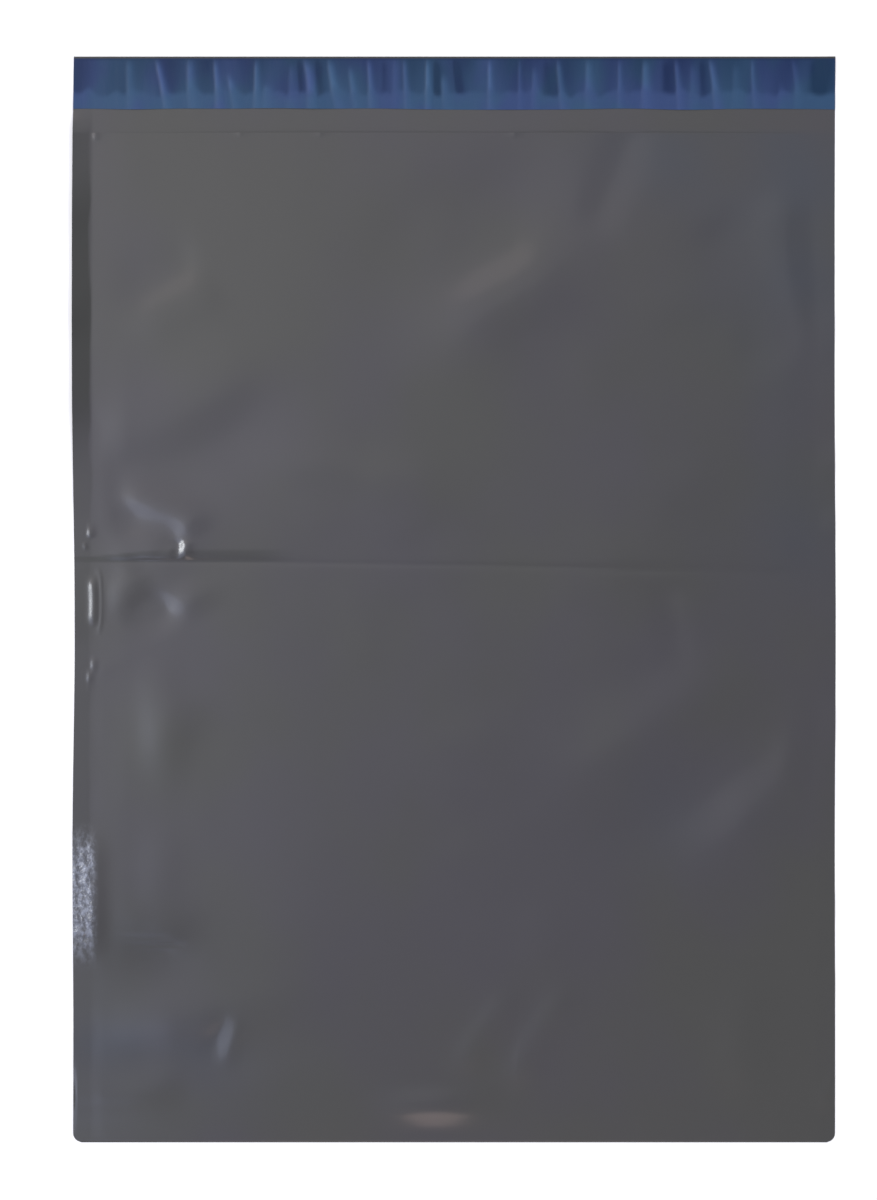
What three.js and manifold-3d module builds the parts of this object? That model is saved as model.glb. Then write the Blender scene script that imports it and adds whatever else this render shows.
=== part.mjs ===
// A grey polythene mailing bag, lying empty on its back panel with its mouth towards +Y.
//
// One sheet of film is folded across the bottom and heat-welded up both sides, so that it makes a
// pocket. The back panel runs on past the mouth as a lip, which carries a strip of hot-melt glue
// under a blue release liner. The bag is sealed by peeling off the liner and folding the lip over
// the front panel.
//
// Millimetres, +Z up. X runs across the bag, Y from the bottom fold to the edge of the lip. The
// origin is on the table, under the middle of the bag.

import * as THREE from "three";
import { mergeVertices } from "three/addons/utils/BufferGeometryUtils.js";
import Module from "manifold-3d";

// The sheet of film and how it is folded and welded
const FILM_GAUGE = 0.06;
const BAG_WIDTH = 400;
const BODY_LENGTH = 530; // from the bottom fold to the mouth
const LIP_LENGTH = 40; // from the mouth to the free edge of the lip
const WELD_WIDTH = 9; // from the side edge inwards, where both panels are one
const CORNER_RADIUS = 5; // at both ends of the bottom fold

// How the empty pocket lies open: the front panel rises off its three closed sides to a flat top
const POCKET_HEIGHT = 6; // outside, from the table to the top of the front panel
const SIDE_RISE = 60; // distance from a side weld to the flat top
const BOTTOM_RISE = 75; // distance from the bottom fold to the flat top

// The glue and its liner
const GLUE_THICKNESS = 0.1;
const GLUE_WIDTH = 18;
const GLUE_END_GAP = 2; // bare lip at each end of the glue
const GLUE_SETBACK = 2; // bare lip between the glue and the edge of the lip
const LINER_THICKNESS = 0.05;
const LINER_SETBACK = 1; // bare lip between the liner and the edge of the lip
const LINER_FREE_MARGIN = 8; // past the glue, towards the mouth, for fingers to lift

// How finely the curved front panel is faceted
const RISE_STEPS = 10;
const TOP_STEPS_ACROSS = 2;
const TOP_STEPS_ALONG = 3;
const FOLD_STEPS = 3; // round the outside of the bottom fold
const CORNER_STEPS = 6;

// Places that follow from the sizes
const SIDE_EDGE = BAG_WIDTH / 2;
const POCKET_SIDE = SIDE_EDGE - WELD_WIDTH;
const LIP_EDGE = (BODY_LENGTH + LIP_LENGTH) / 2;
const BOTTOM_EDGE = -LIP_EDGE;
const MOUTH = LIP_EDGE - LIP_LENGTH;
const POCKET_END = BOTTOM_EDGE + FILM_GAUGE; // the inside of the bottom fold
const CUT_OVERRUN = 1; // how far a cutting solid runs past what it cuts

const grey = new THREE.MeshStandardMaterial({ color: 0x5c5c5e, roughness: 0.35, metalness: 0 });
const glueAmber = new THREE.MeshStandardMaterial({ color: 0xd9d3bd, roughness: 0.4, metalness: 0 });
const blue = new THREE.MeshStandardMaterial({ color: 0x2f4870, roughness: 0.4, metalness: 0 });

const wasm = await Module();
wasm.setup();

// A closed geometry as a solid that can be joined and cut.
function solidOf(geometry) {
  const bare = geometry.index ? geometry.toNonIndexed() : geometry.clone();
  bare.deleteAttribute("normal");
  bare.deleteAttribute("uv");
  const merged = mergeVertices(bare);
  const corners = merged.index.array;
  const triVerts = [];
  for (let i = 0; i < corners.length; i += 3) {
    const [a, b, c] = corners.slice(i, i + 3);
    if (a !== b && b !== c && c !== a) triVerts.push(a, b, c);
  }
  const vertProperties = merged.attributes.position.array;
  return new wasm.Manifold(
    new wasm.Mesh({ numProp: 3, vertProperties, triVerts: new Uint32Array(triVerts) }),
  );
}

// A solid back as a geometry, with flat shading.
function geometryOf(solid) {
  const { numProp, numVert, vertProperties, triVerts } = solid.getMesh();
  const positions = new Float32Array(numVert * 3);
  for (let i = 0; i < numVert; i++) {
    positions.set(vertProperties.subarray(i * numProp, i * numProp + 3), i * 3);
  }
  const indexed = new THREE.BufferGeometry();
  indexed.setAttribute("position", new THREE.BufferAttribute(positions, 3));
  indexed.setIndex(new THREE.BufferAttribute(triVerts, 1));
  const geometry = indexed.toNonIndexed();
  geometry.computeVertexNormals();
  return geometry;
}

// The solid between two height functions over a grid of stations. Where the heights meet at a
// side, that side has no wall.
function solidBetween(xs, ys, bottomAt, topAt) {
  const positions = [];
  const triangle = (...points) => points.forEach((p) => positions.push(...p));
  const quad = (a, b, c, d) => {
    triangle(a, b, c);
    triangle(a, c, d);
  };
  const low = (i, j) => [xs[i], ys[j], bottomAt(xs[i], ys[j])];
  const high = (i, j) => [xs[i], ys[j], topAt(xs[i], ys[j])];
  const lastX = xs.length - 1;
  const lastY = ys.length - 1;
  for (let i = 0; i < lastX; i++) {
    for (let j = 0; j < lastY; j++) {
      quad(high(i, j), high(i + 1, j), high(i + 1, j + 1), high(i, j + 1));
      quad(low(i, j), low(i, j + 1), low(i + 1, j + 1), low(i + 1, j));
    }
    quad(low(i, 0), low(i + 1, 0), high(i + 1, 0), high(i, 0));
    quad(low(i + 1, lastY), low(i, lastY), high(i, lastY), high(i + 1, lastY));
  }
  for (let j = 0; j < lastY; j++) {
    quad(low(0, j + 1), low(0, j), high(0, j), high(0, j + 1));
    quad(low(lastX, j), low(lastX, j + 1), high(lastX, j + 1), high(lastX, j));
  }
  const geometry = new THREE.BufferGeometry();
  geometry.setAttribute("position", new THREE.Float32BufferAttribute(positions, 3));
  return solidOf(geometry);
}

// Evenly spaced stations from one place to another, both included.
function stations(from, to, steps) {
  return Array.from({ length: steps + 1 }, (_, i) => THREE.MathUtils.lerp(from, to, i / steps));
}

// How far up the front panel has come at a distance from a closed side: 0 at the side, 1 on top.
function rise(distance, riseLength) {
  return Math.sin((Math.PI / 2) * THREE.MathUtils.clamp(distance / riseLength, 0, 1));
}

// How far the film's outer faces lie above and below the middle of the two panels. It is one film
// thick all over, and the bottom fold rounds it off to nothing.
function foldedReach(y) {
  const fromFoldCentre = Math.max(POCKET_END - y, 0);
  return Math.sqrt(Math.max(FILM_GAUGE ** 2 - fromFoldCentre ** 2, 0));
}

// The back panel's outer face.
function backPanelBottom(x, y) {
  return FILM_GAUGE - foldedReach(y);
}

// The front panel's outer face. On the welds it lies both films above the table.
function frontPanelTop(x, y) {
  const sides = rise(POCKET_SIDE - Math.abs(x), SIDE_RISE);
  const bottom = rise(y - POCKET_END, BOTTOM_RISE);
  return FILM_GAUGE + foldedReach(y) + (POCKET_HEIGHT - 2 * FILM_GAUGE) * sides * bottom;
}

// The bag's outline from above: square corners on the lip, round ones at the bottom fold.
function outline() {
  const shape = new THREE.Shape();
  shape.moveTo(SIDE_EDGE, LIP_EDGE);
  shape.lineTo(-SIDE_EDGE, LIP_EDGE);
  shape.lineTo(-SIDE_EDGE, BOTTOM_EDGE + CORNER_RADIUS);
  const corner = BOTTOM_EDGE + CORNER_RADIUS;
  shape.absarc(-SIDE_EDGE + CORNER_RADIUS, corner, CORNER_RADIUS, Math.PI, 1.5 * Math.PI);
  shape.absarc(SIDE_EDGE - CORNER_RADIUS, corner, CORNER_RADIUS, -0.5 * Math.PI, 0);
  return shape;
}

// All that lies within the outline, from below the table to above the front panel.
function outlineColumn() {
  const depth = POCKET_HEIGHT + 2 * CUT_OVERRUN;
  const settings = { depth, bevelEnabled: false, curveSegments: CORNER_STEPS };
  const geometry = new THREE.ExtrudeGeometry(outline(), settings);
  return solidOf(geometry.translate(0, 0, -CUT_OVERRUN));
}

// Stations across the pocket: fine where the panel rises, coarse on its flat top.
function stationsAcross() {
  const topSide = POCKET_SIDE - SIDE_RISE;
  return [
    ...stations(-POCKET_SIDE, -topSide, RISE_STEPS).slice(0, -1),
    ...stations(-topSide, topSide, TOP_STEPS_ACROSS),
    ...stations(topSide, POCKET_SIDE, RISE_STEPS).slice(1),
  ];
}

// Stations from the inside of the bottom fold to a far end at or past the mouth.
function stationsAlong(farEnd) {
  const topStart = POCKET_END + BOTTOM_RISE;
  return [
    ...stations(POCKET_END, topStart, RISE_STEPS).slice(0, -1),
    ...stations(topStart, farEnd, TOP_STEPS_ALONG),
  ];
}

// Stations round the outside of the bottom fold, short of its inside.
function stationsRoundFold() {
  return stations(0, Math.PI / 2, FOLD_STEPS)
    .slice(0, -1)
    .map((angle) => POCKET_END - FILM_GAUGE * Math.cos(angle));
}

// The back panel with its lip, from the inside of the bottom fold to the lip's free edge.
function backPanel() {
  const length = LIP_EDGE - POCKET_END;
  const geometry = new THREE.BoxGeometry(BAG_WIDTH, length, FILM_GAUGE);
  return solidOf(geometry.translate(0, POCKET_END + length / 2, FILM_GAUGE / 2));
}

// The back panel with its lip, the front panel, the bottom fold and both side welds, as one film.
function bagFilm() {
  const body = solidBetween(
    [-SIDE_EDGE, ...stationsAcross(), SIDE_EDGE],
    [...stationsRoundFold(), ...stationsAlong(MOUTH)],
    backPanelBottom,
    frontPanelTop,
  );
  const pocket = solidBetween(
    stationsAcross(),
    stationsAlong(MOUTH + CUT_OVERRUN),
    () => FILM_GAUGE,
    (x, y) => frontPanelTop(x, y) - FILM_GAUGE,
  );
  return geometryOf(body.add(backPanel()).subtract(pocket).intersect(outlineColumn()));
}

// A flat strip across the lip, given by its upper edge's distance from the edge of the lip.
function strip(name, length, width, thickness, setback, bottom, material) {
  const mesh = new THREE.Mesh(new THREE.BoxGeometry(length, width, thickness), material);
  mesh.name = name;
  mesh.position.set(0, LIP_EDGE - setback - width / 2, bottom + thickness / 2);
  return mesh;
}

const film = new THREE.Mesh(bagFilm(), grey);
film.name = "bag_film";

const glueLength = BAG_WIDTH - 2 * GLUE_END_GAP;
const glue = strip(
  "glue_strip", glueLength, GLUE_WIDTH, GLUE_THICKNESS, GLUE_SETBACK, FILM_GAUGE, glueAmber,
);

const linerWidth = GLUE_SETBACK + GLUE_WIDTH + LINER_FREE_MARGIN - LINER_SETBACK;
const linerBottom = FILM_GAUGE + GLUE_THICKNESS;
const liner = strip(
  "release_liner", BAG_WIDTH, linerWidth, LINER_THICKNESS, LINER_SETBACK, linerBottom, blue,
);

const mailer = new THREE.Group();
mailer.add(film, glue, liner);

export default mailer;
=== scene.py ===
"""How a grey plastic mailing bag looks, lying flat with its blue release liner at the top.

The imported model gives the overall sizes. The film bag, the glue and the liner are modelled round
it as thin closed sheets, given their finishes, and lit by a plain studio seen from straight above.
Lengths are in metres, apart from the tables of folds, patches and wrinkles, which are in
millimetres. Places on the bag are measured from its middle, X across it and Y from the bottom
fold towards the lip.
"""

import logging
import math
from dataclasses import dataclass, field
from enum import Enum
from typing import Dict, List, Optional, Tuple, Union

import bpy
import numpy as np
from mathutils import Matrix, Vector


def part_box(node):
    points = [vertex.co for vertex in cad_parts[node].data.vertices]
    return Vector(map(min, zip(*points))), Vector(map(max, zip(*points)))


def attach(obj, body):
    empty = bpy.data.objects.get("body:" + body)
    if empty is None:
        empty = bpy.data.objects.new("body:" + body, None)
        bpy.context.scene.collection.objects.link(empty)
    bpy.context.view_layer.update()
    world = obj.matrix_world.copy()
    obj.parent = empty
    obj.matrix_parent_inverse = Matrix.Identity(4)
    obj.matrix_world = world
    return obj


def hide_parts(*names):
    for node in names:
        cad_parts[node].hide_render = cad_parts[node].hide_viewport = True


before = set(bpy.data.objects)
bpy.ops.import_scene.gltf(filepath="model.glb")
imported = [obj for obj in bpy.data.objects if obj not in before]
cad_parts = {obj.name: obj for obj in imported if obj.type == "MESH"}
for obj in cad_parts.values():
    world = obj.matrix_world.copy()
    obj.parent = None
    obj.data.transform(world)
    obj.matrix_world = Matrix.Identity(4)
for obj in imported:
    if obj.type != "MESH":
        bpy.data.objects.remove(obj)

log = logging.getLogger("mailing_bag")

MM = 0.001
HAIR = 0.0001 * MM  # a distance that counts as nothing
BODY = "root"
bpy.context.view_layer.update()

Array = np.ndarray
Colour = Tuple[float, float, float]
Point = Tuple[float, float]


def ease(value: Array, low: float, high: float) -> Array:
    """Goes smoothly from 0 where value is at low to 1 where it is at high.

    Args:
        value: What the step follows.
        low: Where the step begins.
        high: Where it is complete. It may be less than low.

    Returns:
        The step, from 0 to 1, level at both ends.
    """
    share = np.clip((value - low) / (high - low), 0.0, 1.0)
    return share * share * (3.0 - 2.0 * share)


def smooth_noise(x: Array, y: Array, seed: int, pitch: float) -> Array:
    """A smooth random field over the bag, with a spread of about 1.

    It is a sum of plane waves in all directions, whose lengths lie round the pitch.

    Args:
        x: Places across the bag.
        y: Places along the bag, of the same shape.
        seed: Which random field it is.
        pitch: The usual length of a wave.

    Returns:
        The field at each place.
    """
    waves = 24
    shortest, longest = 0.7, 1.6
    random = np.random.default_rng(seed)
    total = np.zeros_like(x)
    for _ in range(waves):
        angle = random.uniform(0.0, 2.0 * math.pi)
        turns = 2.0 * math.pi / (pitch * random.uniform(shortest, longest))
        phase = random.uniform(0.0, 2.0 * math.pi)
        across = turns * math.cos(angle)
        along = turns * math.sin(angle)
        total += np.sin(across * x + along * y + phase)
    return total / math.sqrt(waves / 2.0)


# Sizes


@dataclass(frozen=True)
class BagSizes:
    """Where the edges of the bag, its glue and its liner lie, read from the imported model.

    The lip, the welds and the corners can't be read from a box, so they are stated here.
    """

    half_width: float
    bottom: float
    lip_edge: float
    height: float
    gauge: float
    glue_half_width: float
    glue_foot: float
    glue_head: float
    glue_top: float
    liner_foot: float
    liner_head: float
    liner_gauge: float
    lip_length: float = 40 * MM
    weld_width: float = 9 * MM
    corner_radius: float = 5 * MM

    @classmethod
    def from_frame(cls) -> "BagSizes":
        """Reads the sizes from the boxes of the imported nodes.

        Returns:
            The sizes of this bag.
        """
        film_low, film_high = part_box("bag_film")
        glue_low, glue_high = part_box("glue_strip")
        liner_low, liner_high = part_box("release_liner")
        return cls(
            half_width=film_high[0],
            bottom=film_low[1],
            lip_edge=film_high[1],
            height=film_high[2],
            gauge=glue_low[2],
            glue_half_width=glue_high[0],
            glue_foot=glue_low[1],
            glue_head=glue_high[1],
            glue_top=glue_high[2],
            liner_foot=liner_low[1],
            liner_head=liner_high[1],
            liner_gauge=liner_high[2] - liner_low[2],
        )

    @property
    def mouth(self) -> float:
        """Where the front panel ends."""
        return self.lip_edge - self.lip_length

    @property
    def pocket_side(self) -> float:
        """How far the pocket reaches from the middle before the weld begins."""
        return self.half_width - self.weld_width

    @property
    def pocket_end(self) -> float:
        """The inside of the bottom fold."""
        return self.bottom + self.gauge


# Relief of the film


class FoldShape(Enum):
    """The section of a fold across its path.

    A roll is soft, and a crease is sharp. A step leads from high on the left of the path to low
    on the right. A ledge breaks sharply upwards on the left of the path, and dies out further up.
    """

    ROLL = "roll"
    CREASE = "crease"
    STEP = "step"
    LEDGE = "ledge"


ROLL, CREASE, STEP, LEDGE = FoldShape


@dataclass(frozen=True)
class Fold:
    """A ridge or valley that runs along a curve on the film. Its sizes are in millimetres.

    Its width is the distance over which it dies out to either side. A negative rise makes a
    valley. It fades in and out over a share of its length at either end.
    """

    path: Tuple[Point, ...]
    width: float
    rise: float
    shape: FoldShape = ROLL
    fade: Tuple[float, float] = (0.25, 0.25)

    def curve(self) -> Array:
        """The path as a smooth line through its points.

        Returns:
            The points of the line in metres, one to a row.
        """
        given = np.array(self.path, dtype=float) * MM
        if len(given) < 3:
            return given
        ends = [2 * given[0] - given[1], *given, 2 * given[-1] - given[-2]]
        steps_between = 8
        steps = np.linspace(0.0, 1.0, steps_between + 1)[:-1, None]
        line: List[Array] = []
        for before, start, end, after in zip(ends, ends[1:], ends[2:], ends[3:]):
            line.append(
                0.5 * (
                    2 * start
                    + (end - before) * steps
                    + (2 * before - 5 * start + 4 * end - after) * steps**2
                    + (3 * start - before - 3 * end + after) * steps**3
                )
            )
        return np.vstack([*line, given[-1:]])

    def height(self, x: Array, y: Array) -> Array:
        """How far the fold lifts the film.

        Args:
            x: Places across the bag.
            y: Places along the bag, of the same shape.

        Returns:
            The lift at each place, in metres.
        """
        line = self.curve()
        steps = np.diff(line, axis=0)
        lengths = np.linalg.norm(steps, axis=1)
        starts = np.concatenate([[0.0], np.cumsum(lengths)])
        nearest = np.full(x.shape, np.inf)
        aside = np.zeros(x.shape)
        along = np.zeros(x.shape)
        for (px, py), (dx, dy), length, start in zip(line, steps, lengths, starts):
            ux, uy = dx / length, dy / length
            forward = np.clip((x - px) * ux + (y - py) * uy, 0.0, length)
            away_x, away_y = x - px - ux * forward, y - py - uy * forward
            distance = np.hypot(away_x, away_y)
            closer = distance < nearest
            side = np.sign(ux * (y - py) - uy * (x - px))
            nearest = np.where(closer, distance, nearest)
            aside = np.where(closer, distance * side, aside)
            along = np.where(closer, (start + forward) / starts[-1], along)
        fade_in, fade_out = (max(share, 1e-3) for share in self.fade)
        lift = self.rise * MM * self.section(aside / (self.width * MM))
        return lift * ease(along, 0.0, fade_in) * ease(along, 1.0, 1.0 - fade_out)

    def section(self, spread: Array) -> Array:
        """The fold's height across its path.

        Args:
            spread: How many widths to the left of the path each place lies.

        Returns:
            The height at each place, as a share of the rise.
        """
        if self.shape is ROLL:
            return np.exp(-(spread**2))
        if self.shape is CREASE:
            blunting = 0.15
            return np.exp(blunting - np.sqrt(spread**2 + blunting**2))
        if self.shape is STEP:
            return spread * np.exp(0.5 - 0.5 * spread**2)
        steepness, run_out = 1.6, 5.0
        ramp = 1.0 - (1.0 - np.clip(spread, 0.0, 1.0)) ** steepness
        return ramp * np.exp(-((np.maximum(spread - 1.0, 0.0) / run_out) ** 2))


@dataclass(frozen=True)
class Pucker:
    """The short wrinkles that a weld draws in the film beside it.

    The pairs are the least and the most that a wrinkle may have: its width and the way to the
    next one as shares of the pitch, its reach and its rise as shares of theirs, and its slope.
    """

    side: int
    seed: int
    pitch: float = 13 * MM
    reach: float = 10 * MM
    rise: float = 0.16 * MM
    widths: Point = (0.2, 0.45)
    reaches: Point = (0.4, 2.2)
    slants: Point = (-0.7, 0.7)
    rises: Point = (0.2, 1.0)
    steps: Point = (0.5, 1.8)

    def height(self, x: Array, y: Array, sizes: BagSizes) -> Array:
        """How far the puckers lift the front panel.

        Args:
            x: Places across the bag.
            y: Places along the bag, of the same shape.
            sizes: Where the welds are.

        Returns:
            The lift at each place, in metres.
        """
        random = np.random.default_rng(self.seed)
        inwards = sizes.pocket_side - self.side * x
        begins = ease(inwards, -1 * MM, 7 * MM)
        total = np.zeros(x.shape)
        place = sizes.bottom + self.pitch
        while place < sizes.mouth - self.pitch:
            width = self.pitch * random.uniform(*self.widths)
            reach = self.reach * random.uniform(*self.reaches)
            slant = random.uniform(*self.slants)
            rise = self.rise * random.uniform(*self.rises)
            across = (y - place - slant * inwards) / width
            dying_out = np.exp(-np.maximum(inwards, 0.0) / reach)
            total += rise * np.exp(-(across**2)) * begins * dying_out
            place += self.pitch * random.uniform(*self.steps)
        return total


@dataclass
class LooseFilm:
    """The front panel as a cloth that is let down on the back panel, held along its welds.

    It starts as a slightly rumpled sheet, whose rumples die out over held_run towards the sides
    that are held, and settles under its own weight into the shallow flats and ridges that loose
    film takes.
    """

    sizes: BagSizes
    spacing: float = 5 * MM
    rumple: float = 1.1 * MM
    rumple_pitch: float = 120 * MM
    rumple_mean: float = 1.3
    held_run: float = 45 * MM
    seed: int = 11
    frames: int = 36
    start_height: float = 2.0 * MM
    clearance: float = 0.5 * MM
    heights: Optional[Array] = field(default=None, init=False)

    @property
    def cells(self) -> Tuple[int, int]:
        """How many cells the cloth has across and along the bag."""
        width, length = 2 * self.sizes.pocket_side, self.sizes.mouth - self.sizes.pocket_end
        return round(width / self.spacing), round(length / self.spacing)

    def sheet(self) -> bpy.types.Object:
        """Lays out the cloth, rumpled, with its closed sides in a vertex group.

        Returns:
            The cloth before it has settled.
        """
        across, along = self.cells
        length = self.sizes.mouth - self.sizes.pocket_end
        bpy.ops.object.select_all(action="DESELECT")
        bpy.ops.mesh.primitive_grid_add(
            x_subdivisions=across,
            y_subdivisions=along,
            size=1.0,
            location=(0.0, self.sizes.pocket_end + length / 2, self.start_height),
        )
        cloth = bpy.context.active_object
        cloth.scale = (2 * self.sizes.pocket_side, length, 1.0)
        bpy.ops.object.transform_apply(location=True, rotation=True, scale=True)
        places = read_points(cloth)
        x, y = places[:, 0], places[:, 1]
        side = self.sizes.pocket_side - np.abs(x)
        end = y - self.sizes.pocket_end
        free = ease(side, 0.0, self.held_run) * ease(end, 0.0, self.held_run)
        wave = smooth_noise(x, y, self.seed, self.rumple_pitch)
        places[:, 2] += free * self.rumple * (self.rumple_mean + wave)
        write_points(cloth, places)
        held = cloth.vertex_groups.new(name="held")
        edge = self.spacing / 2
        closed = np.flatnonzero((side < edge) | (end < edge))
        held.add([int(number) for number in closed], 1.0, "REPLACE")
        return cloth

    def settle(self) -> None:
        """Runs the simulation and keeps the heights it ends with."""
        cloth = self.sheet()
        bpy.ops.mesh.primitive_plane_add(size=2.0, location=(0.0, 0.0, 0.0))
        table = bpy.context.active_object
        bpy.ops.object.modifier_add(type="COLLISION")
        table.collision.thickness_outer = self.clearance
        bpy.context.view_layer.objects.active = cloth
        bpy.ops.object.modifier_add(type="CLOTH")
        modifier = cloth.modifiers[-1]
        film = modifier.settings
        film.quality = 8
        film.mass = 0.002
        film.tension_stiffness = 60.0
        film.compression_stiffness = 60.0
        film.shear_stiffness = 30.0
        film.bending_stiffness = 0.02
        film.tension_damping = 15.0
        film.compression_damping = 15.0
        film.shear_damping = 15.0
        film.bending_damping = 0.5
        film.air_damping = 2.0
        film.vertex_group_mass = "held"
        modifier.collision_settings.use_collision = True
        modifier.collision_settings.distance_min = self.clearance
        modifier.point_cache.frame_end = self.frames
        scene = bpy.context.scene
        for number in range(1, self.frames + 1):
            scene.frame_set(number)
        bpy.ops.object.modifier_apply(modifier=modifier.name)
        across, along = self.cells
        settled = read_points(cloth)[:, 2] - self.start_height
        self.heights = settled.reshape(along + 1, across + 1).T
        log.info("film settled, from %.2f to %.2f mm", settled.min() / MM, settled.max() / MM)
        scene.frame_set(1)
        bpy.data.objects.remove(cloth)
        bpy.data.objects.remove(table)

    def at(self, xs: Array, ys: Array) -> Array:
        """The settled heights at other stations.

        Args:
            xs: Stations across the bag.
            ys: Stations along the bag.

        Returns:
            The height at each pair of stations, 0 outside the pocket.
        """
        across, along = self.cells
        side = self.sizes.pocket_side
        first = blend_weights(xs, -side, side, across)
        second = blend_weights(ys, self.sizes.pocket_end, self.sizes.mouth, along)
        return first @ self.heights @ second.T


def blend_weights(places: Array, low: float, high: float, cells: int) -> Array:
    """Weights that read an even row of values at other places, slightly blurred.

    Args:
        places: Where the values are wanted.
        low: Where the row begins.
        high: Where it ends.
        cells: How many cells it has.

    Returns:
        One row of weights for each place, to multiply the values by.
    """
    blur = 2.0
    at = np.clip((places - low) / (high - low) * cells, 0.0, cells)
    weights = np.exp(-(((at[:, None] - np.arange(cells + 1)[None, :]) / blur) ** 2))
    return weights / weights.sum(axis=1, keepdims=True)


# Meshes


def read_points(piece: bpy.types.Object) -> Array:
    """Reads where the vertices of a piece are.

    Args:
        piece: The piece.

    Returns:
        Their places, one to a row.
    """
    flat = np.empty(len(piece.data.vertices) * 3)
    piece.data.vertices.foreach_get("co", flat)
    return flat.reshape(-1, 3)


def write_points(piece: bpy.types.Object, places: Array) -> None:
    """Moves the vertices of a piece to new places, one to a row."""
    piece.data.vertices.foreach_set("co", places.ravel())
    piece.data.update()


def set_attribute(piece: bpy.types.Object, name: str, values: Array) -> None:
    """Stores a number at each vertex, for a material to read."""
    attribute = piece.data.attributes.new(name, "FLOAT", "POINT")
    attribute.data.foreach_set("value", values.astype(np.float32))


def pick(piece: bpy.types.Object) -> None:
    """Selects one piece alone, and makes it the active one.

    Args:
        piece: The piece that the next operator works on.
    """
    bpy.ops.object.select_all(action="DESELECT")
    piece.select_set(True)
    bpy.context.view_layer.objects.active = piece


def smooth_below(piece: bpy.types.Object, degrees: float) -> None:
    """Shades a piece smooth, apart from its edges sharper than an angle."""
    pick(piece)
    bpy.ops.object.shade_smooth_by_angle(angle=math.radians(degrees))


class SkinMesh:
    """Gathers skins of points over a grid, and the faces between them, into one mesh."""

    def __init__(self) -> None:
        """Starts with no points and no faces."""
        self.points: List[Array] = []
        self.faces: List[Tuple[int, ...]] = []
        self.count = 0

    def skin(self, x: Array, y: Array, z: Array) -> Array:
        """Adds a grid of points.

        Args:
            x: Their places across the bag.
            y: Their places along the bag.
            z: Their heights.

        Returns:
            The number of each point, in the shape of the grid.
        """
        numbers = self.count + np.arange(x.size).reshape(x.shape)
        self.points.append(np.column_stack([x.ravel(), y.ravel(), z.ravel()]))
        self.count += x.size
        return numbers

    def cells(self, numbers: Array, upwards: bool) -> None:
        """Fills a grid of points with four-sided faces.

        Args:
            numbers: The points, with X along the first axis and Y along the second.
            upwards: Whether the faces look up.
        """
        corners = [numbers[:-1, :-1], numbers[1:, :-1], numbers[1:, 1:], numbers[:-1, 1:]]
        if not upwards:
            corners.reverse()
        self.add_faces(corners)

    def wall(self, first: Array, second: Array) -> None:
        """Joins two rows of points with faces that have the first row's start at their lower left.

        Args:
            first: The lower row, from left to right as seen from outside.
            second: The upper row, point for point.
        """
        self.add_faces([first[:-1], first[1:], second[1:], second[:-1]])

    def add_faces(self, corners: List[Array]) -> None:
        """Adds four-sided faces, from the first, second, third and fourth corners of them all."""
        self.faces += [tuple(face) for face in np.stack(corners, -1).reshape(-1, 4).tolist()]

    def finish(self, name: str) -> bpy.types.Object:
        """Makes the object, leaving out points that no face uses.

        Args:
            name: What the piece is called.

        Returns:
            The new piece.
        """
        used = np.unique(np.concatenate([np.array(face) for face in self.faces]))
        renumber = np.full(self.count, -1)
        renumber[used] = np.arange(len(used))
        faces = [tuple(int(renumber[corner]) for corner in face) for face in self.faces]
        mesh = bpy.data.meshes.new(name)
        mesh.from_pydata(np.vstack(self.points)[used].tolist(), [], faces)
        mesh.validate()
        piece = bpy.data.objects.new(name, mesh)
        bpy.context.scene.collection.objects.link(piece)
        return piece


# Shader maths


class Value:
    """A number on a node's socket. Arithmetic on it adds Math nodes."""

    def __init__(self, shader: "Shader", socket: bpy.types.NodeSocket) -> None:
        """Keeps the socket and the shader that it belongs to."""
        self.shader = shader
        self.socket = socket

    def _math(self, operation: str, *terms: "Number") -> "Value":
        """Adds a Math node for an operation on one or two terms."""
        node = self.shader.node("ShaderNodeMath", {"operation": operation}, dict(enumerate(terms)))
        return Value(self.shader, node.outputs[0])

    def __add__(self, other: "Number") -> "Value":
        """Adds a number or another value."""
        return self._math("ADD", self, other)

    __radd__ = __add__

    def __sub__(self, other: "Number") -> "Value":
        """Takes a number or another value away."""
        return self._math("SUBTRACT", self, other)

    def __rsub__(self, other: "Number") -> "Value":
        """Takes this value away from a number."""
        return self._math("SUBTRACT", other, self)

    def __mul__(self, other: "Number") -> "Value":
        """Multiplies by a number or another value."""
        return self._math("MULTIPLY", self, other)

    __rmul__ = __mul__

    def step(self, low: float, high: float) -> "Value":
        """Goes smoothly from 0 where this value is at low to 1 where it is at high.

        Args:
            low: Where the step begins.
            high: Where it is complete.

        Returns:
            The step, from 0 to 1.
        """
        node = self.shader.node(
            "ShaderNodeMapRange",
            {"interpolation_type": "SMOOTHSTEP"},
            {"Value": self, "From Min": low, "From Max": high},
        )
        return Value(self.shader, node.outputs["Result"])


Number = Union[float, Value]
Input = Union[Number, Colour, bpy.types.NodeSocket]


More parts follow.
